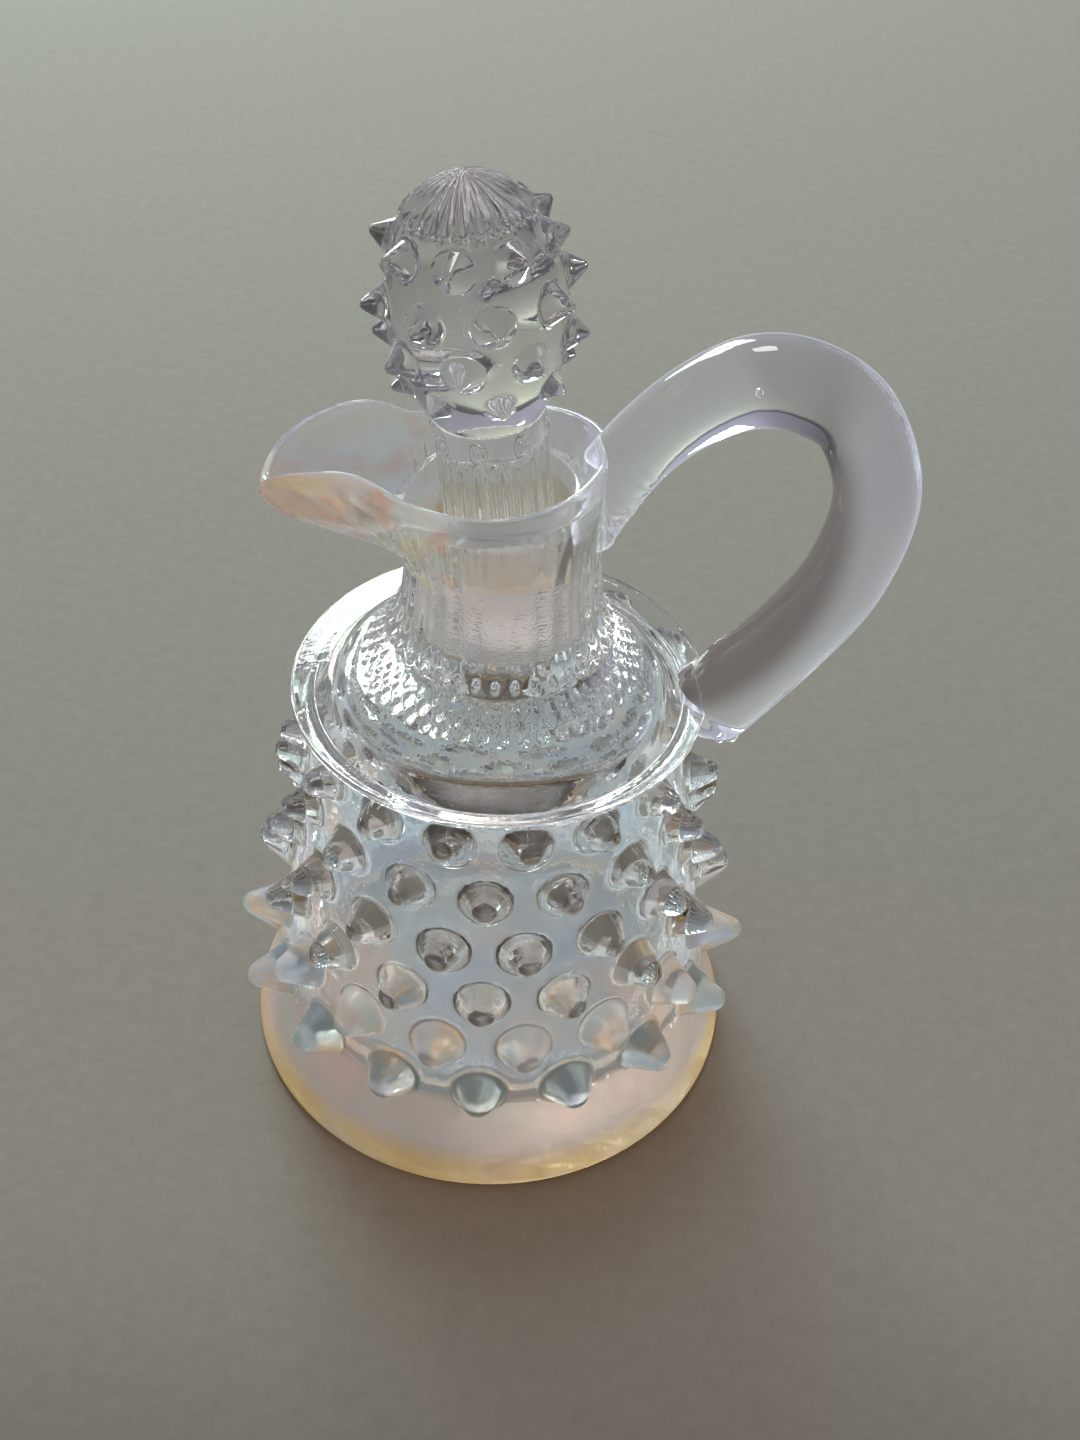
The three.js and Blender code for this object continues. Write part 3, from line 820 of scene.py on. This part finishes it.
# The glows of the handle, the knob and the plug are painted glows as well
handleGlass = glassMaterial(
    "drawnHandleGlass", 0.97, 0.02, 0.08, (0.93, 0.92, 0.92), paintedGlow=0.34, strike=strikeOf(
        towardHandle, 12, 42, (0.95, 0.97, 0.94), (0.88, 0.88, 0.96), (0.95, 0.93, 0.9), (0.8, 0.8, 0.97),
        45, 0.5),
    # Painted edge light in pale lavender at the rod's grazing edges
    edge=(0.82, 0.85, 1.0), paintedShadeBand=(0.34, 0.28, 0.27),  # the band lies inside the handle's right leg
    # A band of painted shade inside the handle's right leg
    paintedShadeArc=arcOf((7.8, 0, 83.4), inside=(22, 25), outside=(31.6, 28.0), top=(102, 93)))
stopperGlass = glassMaterial(
    "pressedKnobGlass", 0.98, 0.01, 0.07, (0.95, 0.95, 0.95), paintedGlow=0.01, strike=strikeOf(
        up, 97, 115, (0.98, 0.98, 0.97), (0.79, 0.75, 0.79), (0.93, 0.9, 0.9), (0.82, 0.84, 0.97),
        60, 0.5))
plugGlass = glassMaterial(
    "groundPlugGlass", 0.35, 0.5, 0.3, (0.95, 0.95, 0.94), paintedGlow=0.22, depth=14, strike=strikeOf(
        up, 66, 78, (0.96, 0.89, 0.88), (0.97, 0.92, 0.91), (0.94, 0.86, 0.83), (0.8, 0.77, 0.77),
        240, 0.25), **groundFinish)


# Where the bottle's glass changes
zones = dict(
    ragged=1.6, raggedScale=1.7, spoutRagged=6,  # how far the lines between two glasses stray
    footTop=14, lowWallTop=19.5, milkyHobTop=26, paintedShadeSlope=0.48, hobMargin=0.12,
    undersideTop=1, undersideSlope=-0.9, insideMargin=1.5,
    groundFoot=66.9, boreMargin=0.5, socketMargin=0.3,
    lipTopSlope=0.6, throatRadius=8.2, throatTop=83.8, spoutAngle=64,
)


# Which of the bottle's glasses a face is made of
def bottleRegion(face):
    b, zone = bottle, zones
    centre = face.center / mm
    radius, height = math.hypot(centre.x, centre.y), centre.z
    ragged = zone["ragged"] * noise.noise(centre * zone["raggedScale"])
    socketRadius, socketTop = b["socketTop"]
    if height > b["lipFoot"][1]:
        facesIn = face.normal.x * centre.x + face.normal.y * centre.y < 0
        if facesIn or face.normal.z > zone["lipTopSlope"]:
            if radius < socketRadius + zone["socketMargin"] and height < socketTop:
                return "ground"
            inThroat = radius < zone["throatRadius"] and height < zone["throatTop"]
            return "throat" if inThroat else "lipInner"
        away = fromSpout(math.atan2(centre.y, centre.x)) + ragged * zone["spoutRagged"]
        return "lipOuter" if away < zone["spoutAngle"] else "clear"
    hollowTop = b["socketFoot"][1]
    if height > hollowTop and radius < socketRadius + zone["boreMargin"]:
        return "ground" if height > zone["groundFoot"] else "clear"
    flangeFoot = b["flangeOutline"][0][1]
    wall = radiusOn(b["wallOutline"], height)
    if zone["undersideTop"] < height < hollowTop and radius < wall - zone["insideMargin"]:
        if height < flangeFoot or radius < b["shoulderOutline"][2][0]:
            return "inside"
    if height > flangeFoot:
        return "clear"
    if face.normal.z < zone["undersideSlope"] and height < zone["undersideTop"]:
        return "under"
    if radius > wall + zone["hobMargin"] and height > b["hobRows"][0] - b["hobBase"][0]:
        if height < zone["milkyHobTop"]:
            return "lowHob"
        # Faces that face upwards get the glass with painted shade
        return "paintedShadeHob" if face.normal.z > zone["paintedShadeSlope"] else "hob"
    if height + ragged < zone["footTop"]:
        return "foot"
    return "lowWall" if height + ragged < zone["lowWallTop"] else "wall"


def stopperRegion(face):
    along = (face.center / mm - Vector((0, 0, stopper["pivot"]))).dot(liftAxis)
    return "plug" if along < stopper["groundTop"] else "knob"


# Gives a piece its glasses, and each face the one that region names
def dress(piece, glasses, region, smoothAngle):
    mesh = piece.data
    mesh.materials.clear()
    order = list(glasses)
    for name in order:
        mesh.materials.append(glasses[name])
    for face in mesh.polygons:
        face.material_index = order.index(region(face))
    mesh.shade_smooth()
    mesh.set_sharp_from_angle(angle=math.radians(smoothAngle))


dress(bottlePiece, bottleGlasses, bottleRegion, bottle["smoothAngle"])
dress(stopperPiece, dict(knob=stopperGlass, plug=plugGlass), stopperRegion, stopper["smoothAngle"])
dress(handlePiece, dict(rod=handleGlass), lambda face: "rod", handle["smoothAngle"])

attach(bottlePiece, "bottle_body")
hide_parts("bottle")
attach(handlePiece, "bottle_body")
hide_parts("handle")
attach(stopperPiece, "stopper_body")
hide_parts("stopper")
print("glass dressed")


# Floor, lights and camera

# Pale paper with painted shade: darker towards the front, and darker still at its front and right ends
paper = dict(
    halfWidth=3000, drop=0.05,
    pale=(0.39, 0.395, 0.345), dark=(0.38, 0.352, 0.303), paleFrom=-90, paleTo=220,
    endShadeTone=0.4, ends=dict(Y=(-28, -120), X=(270, 420)),
    grainScale=420.0, grainDetail=6.0, grainRoughness=0.7, grainDepth=0.3, grainStrength=0.25,
    speckleFrom=(0.3, 0.7), speckleTo=(0.93, 1.05),
    roughness=0.9, specular=0.15,
)


def makeFloor():
    mesh = bpy.data.meshes.new("floor")
    half = paper["halfWidth"]
    corners = [(-half, -half), (half, -half), (half, half), (-half, half)]
    mesh.from_pydata([(x * mm, y * mm, -paper["drop"] * mm) for x, y in corners], [], [(0, 1, 2, 3)])
    floor = makePiece("floor", mesh)
    material = bpy.data.materials.new("paper")
    material.use_nodes = True
    tree = material.node_tree
    shader = tree.nodes["Principled BSDF"].inputs
    place = addNode(tree, "ShaderNodeTexCoord", {}).outputs["Object"]
    parts = addNode(tree, "ShaderNodeSeparateXYZ", {"Vector": place}).outputs
    grain = addNode(tree, "ShaderNodeTexNoise", {
        "Vector": place, "Scale": paper["grainScale"], "Detail": paper["grainDetail"],
        "Roughness": paper["grainRoughness"]}).outputs["Fac"]
    tone = mapValue(tree, grain, *paper["speckleFrom"], *paper["speckleTo"])
    # Painted shade at the paper's front and right ends
    for axis, (start, end) in paper["ends"].items():
        fade = mapValue(tree, parts[axis], start * mm, end * mm, 1.0, paper["endShadeTone"], soft=True)
        tone = calculate(tree, "MULTIPLY", tone, fade)
    grey = addNode(tree, "ShaderNodeCombineColor", {"Red": tone, "Green": tone, "Blue": tone})
    # Painted shade, darker towards the front
    share = mapValue(tree, parts["Y"], paper["paleFrom"] * mm, paper["paleTo"] * mm, soft=True)
    colour = mixColours(tree, share, (*paper["dark"], 1), (*paper["pale"], 1))
    colour = mixColours(tree, 1.0, colour, grey.outputs["Color"], "MULTIPLY")
    bump = addNode(tree, "ShaderNodeBump", {
        "Strength": paper["grainStrength"], "Distance": paper["grainDepth"] * mm, "Height": grain})
    tree.links.new(colour, shader["Base Color"])
    tree.links.new(bump.outputs["Normal"], shader["Normal"])
    shader["Roughness"].default_value = paper["roughness"]
    shader["Specular IOR Level"].default_value = paper["specular"]
    mesh.materials.append(material)


# The focal length and the frame's height are in pixels, and the clip distances in metres
view = dict(place=(5.06, -152.5, 189.9), pitch=42.14, roll=3.09, focal=1700, frameHeight=1440, sensor=36,
            clip=(0.005, 20))


def makeCamera():
    data = bpy.data.cameras.new("camera")
    data.sensor_width = view["sensor"]
    data.lens = view["focal"] * view["sensor"] / view["frameHeight"]
    data.clip_start, data.clip_end = view["clip"]
    camera = bpy.data.objects.new("camera", data)
    scene.collection.objects.link(camera)
    pitch, roll = math.radians(view["pitch"]), math.radians(view["roll"])
    forward = Vector((0, math.cos(pitch), -math.sin(pitch)))
    right, above = Vector((1, 0, 0)), Vector((0, math.sin(pitch), math.cos(pitch)))
    across = right * math.cos(roll) + above * math.sin(roll)
    over = above * math.cos(roll) - right * math.sin(roll)
    turn = Matrix((across, over, -forward)).transposed().to_4x4()
    camera.matrix_world = Matrix.Translation(Vector(view["place"]) * mm) @ turn
    scene.camera = camera


# Places and sizes of the lamps are in metres
lamps = dict(
    aim=(0, 0, 0.05),
    windowCentre=(-0.40, 1.05, 0.555), windowSize=(0.58, 0.6), windowBar=0.03, windowRadiance=12.0,
    windowColours=[[(1.0, 0.96, 0.93), (0.9, 0.95, 1.0)], [(0.62, 0.86, 0.6), (0.9, 0.97, 0.85)]],
    skylightPlace=(-0.1, 0.55, 1.4), skylightSize=(0.4, 0.35), skylightRadiance=11.0,
    skylightColour=(1.0, 0.99, 0.97),
    skyDirection=(-0.4, 0.7, 0.59), skyFrom=-0.75,
    skyStops=[(0.15, (0.045, 0.038, 0.037)), (0.45, (0.08, 0.07, 0.07)), (0.7, (0.2, 0.205, 0.23)),
              (0.9, (0.34, 0.35, 0.42))],
)


# A soft rectangular lamp of an even radiance, facing a target
def makeLamp(name, place, target, size, radiance, colour):
    data = bpy.data.lights.new(name, "AREA")
    data.shape = "RECTANGLE"
    data.size, data.size_y = size
    data.energy = radiance * math.pi * size[0] * size[1]
    data.color = colour
    lamp = bpy.data.objects.new(name, data)
    scene.collection.objects.link(lamp)
    lamp.location = place
    lamp.rotation_mode = "QUATERNION"
    lamp.rotation_quaternion = (Vector(target) - Vector(place)).to_track_quat("-Z", "Y")


# A window of two by two panes behind the object
def makeWindow():
    centre = Vector(lamps["windowCentre"])
    facing = (Vector(lamps["aim"]) - centre).normalized()
    across = facing.cross(Vector((0, 0, 1))).normalized()
    above = across.cross(facing)
    width, height = (side / 2 for side in lamps["windowSize"])
    size = (width - lamps["windowBar"], height - lamps["windowBar"])
    for row, colours in enumerate(lamps["windowColours"]):
        for column, colour in enumerate(colours):
            place = centre + across * width * (0.5 - column) + above * height * (0.5 - row)
            makeLamp(f"pane{row}{column}", place, place + facing, size, lamps["windowRadiance"], colour)


# A dim room that is brighter towards the window
def makeWorld():
    world = bpy.data.worlds.new("studio")
    scene.world = world
    world.use_nodes = True
    tree = world.node_tree
    place = addNode(tree, "ShaderNodeTexCoord", {}).outputs["Generated"]
    lift = addNode(tree, "ShaderNodeVectorMath", {
        0: place, 1: lamps["skyDirection"]}, operation="DOT_PRODUCT")
    share = mapValue(tree, lift.outputs["Value"], lamps["skyFrom"], 1.0)
    ramp = addNode(tree, "ShaderNodeValToRGB", {"Fac": share})
    stops = ramp.color_ramp.elements
    first, *between, final = lamps["skyStops"]
    for stop, (position, colour) in zip(list(stops), (first, final)):
        stop.position, stop.color = position, (*colour, 1)
    for position, colour in between:
        stops.new(position).color = (*colour, 1)
    tree.links.new(ramp.outputs["Color"], tree.nodes["Background"].inputs["Color"])


makeFloor()
makeCamera()
makeWindow()
makeLamp("skylight", lamps["skylightPlace"], lamps["aim"], lamps["skylightSize"], lamps["skylightRadiance"],
         lamps["skylightColour"])
makeWorld()
scene.view_settings.view_transform = "Standard"
scene.cycles.max_bounces = 24
scene.cycles.transmission_bounces = 24
scene.cycles.glossy_bounces = 8
scene.cycles.transparent_max_bounces = 32
print("studio made")
